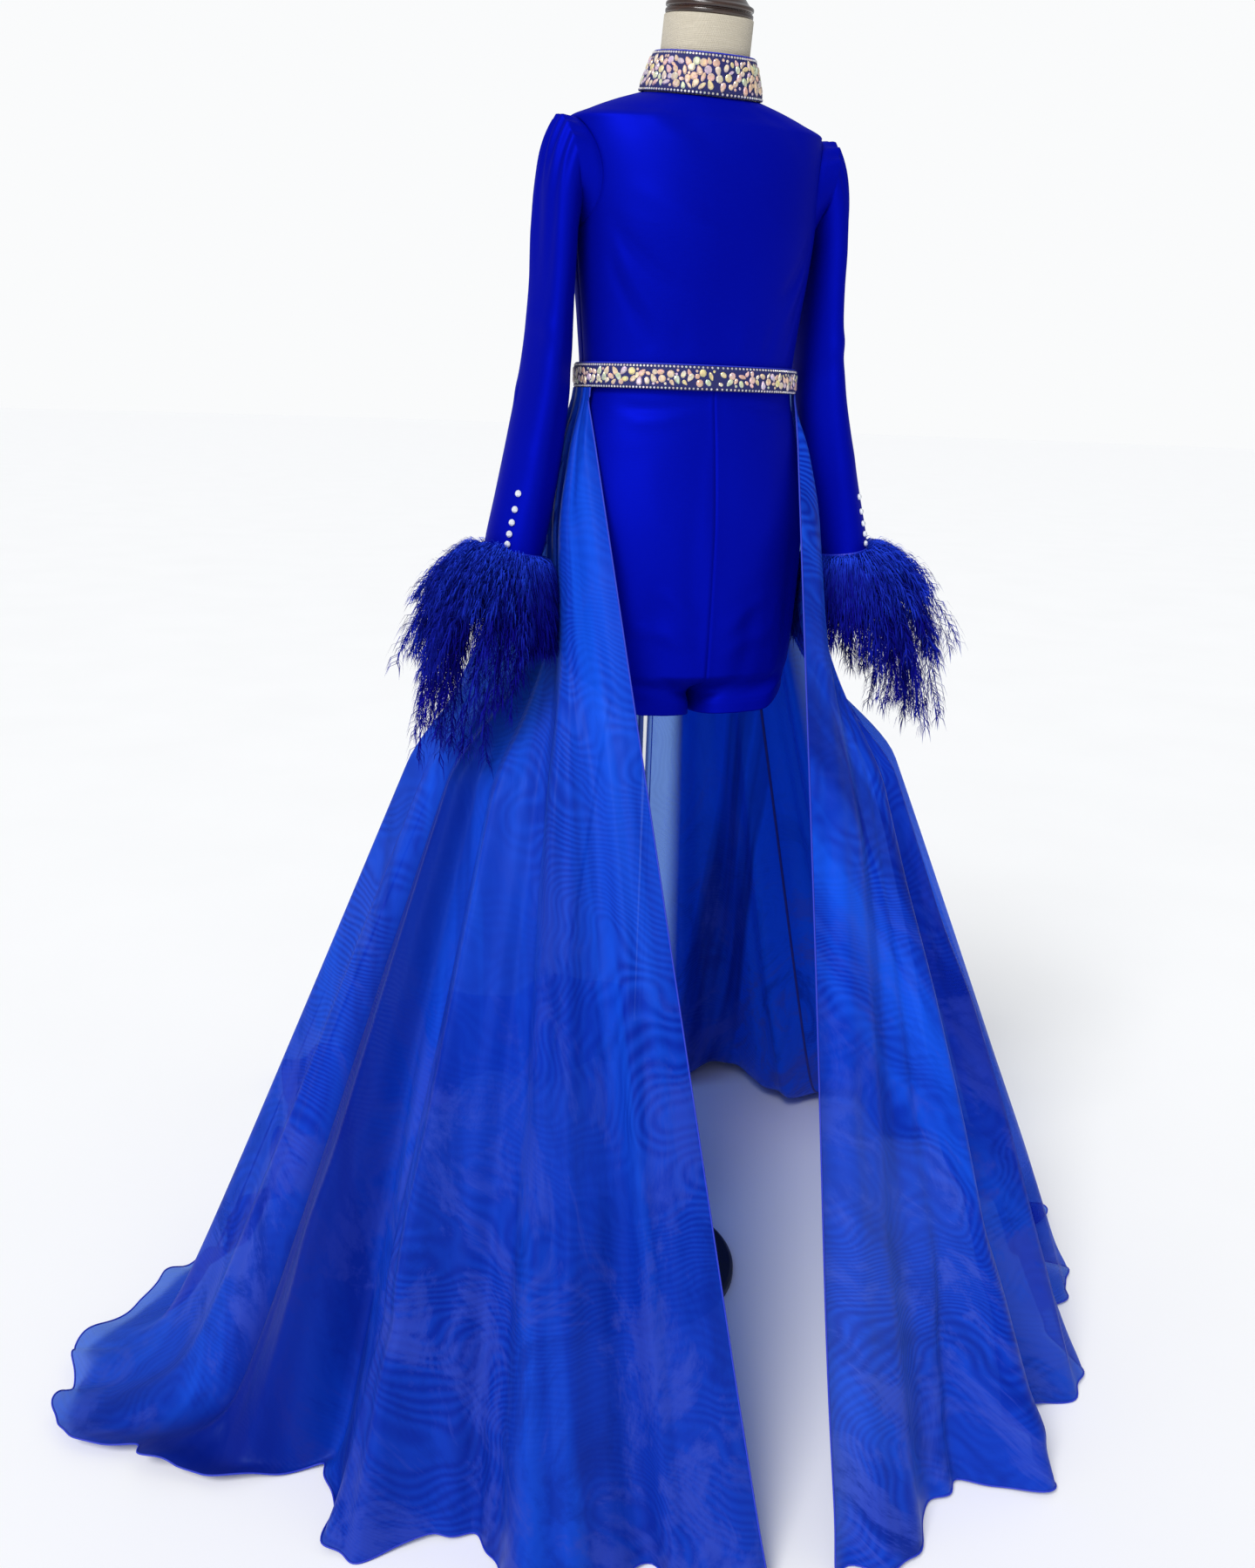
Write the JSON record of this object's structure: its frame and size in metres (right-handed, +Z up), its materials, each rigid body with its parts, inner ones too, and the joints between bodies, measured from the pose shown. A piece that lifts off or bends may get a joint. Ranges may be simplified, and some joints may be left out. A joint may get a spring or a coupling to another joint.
{
  "type": "pageant dress on a dress form",
  "caption": "Long-sleeved satin romper with beaded collar and belt, feather cuffs and a sheer trained overskirt, worn by a limbless dress form on a pole stand.",
  "frame": {"origin": "middle of the stand's base plate, on its underside", "axes": "+Z up along the pole, the garment's front faces -Y, +X towards the wearer's left"},
  "size_m": [1.3199, 1.375, 1.4871],
  "materials": {
    "stand_metal": "satin black",
    "rod_chrome": "polished",
    "form_linen": "fine plain weave",
    "cap_wood": "dark polished",
    "satin": "smooth stretch satin",
    "beading": "faceted stones on cloth",
    "feather": "soft barbs",
    "organza": "sheer crisp",
    "rhinestone": "faceted"
  },
  "bodies": {
    "root": {"stand_base": "stand_metal", "stand_tube": "stand_metal", "stand_hub": "stand_metal", "stand_rod": "rod_chrome", "form_torso": "form_linen", "form_neck_cap": "cap_wood", "bodice_front": "satin", "bodice_back_right": "satin", "bodice_back_left": "satin", "shorts_front_right": "satin", "shorts_front_left": "satin", "shorts_back_right": "satin", "shorts_back_left": "satin", "sleeve_right": "satin", "sleeve_left": "satin", "collar": "beading", "belt": "beading", "feather_cuff_right": "feather", "feather_cuff_left": "feather", "overskirt_side_right": "organza", "overskirt_back_right": "organza", "overskirt_back_left": "organza", "overskirt_side_left": "organza", "button_right_1": "rhinestone", "button_right_2": "rhinestone", "button_right_3": "rhinestone", "button_right_4": "rhinestone", "button_right_5": "rhinestone", "button_left_1": "rhinestone", "button_left_2": "rhinestone", "button_left_3": "rhinestone", "button_left_4": "rhinestone", "button_left_5": "rhinestone"}
  },
  "joints": []
}
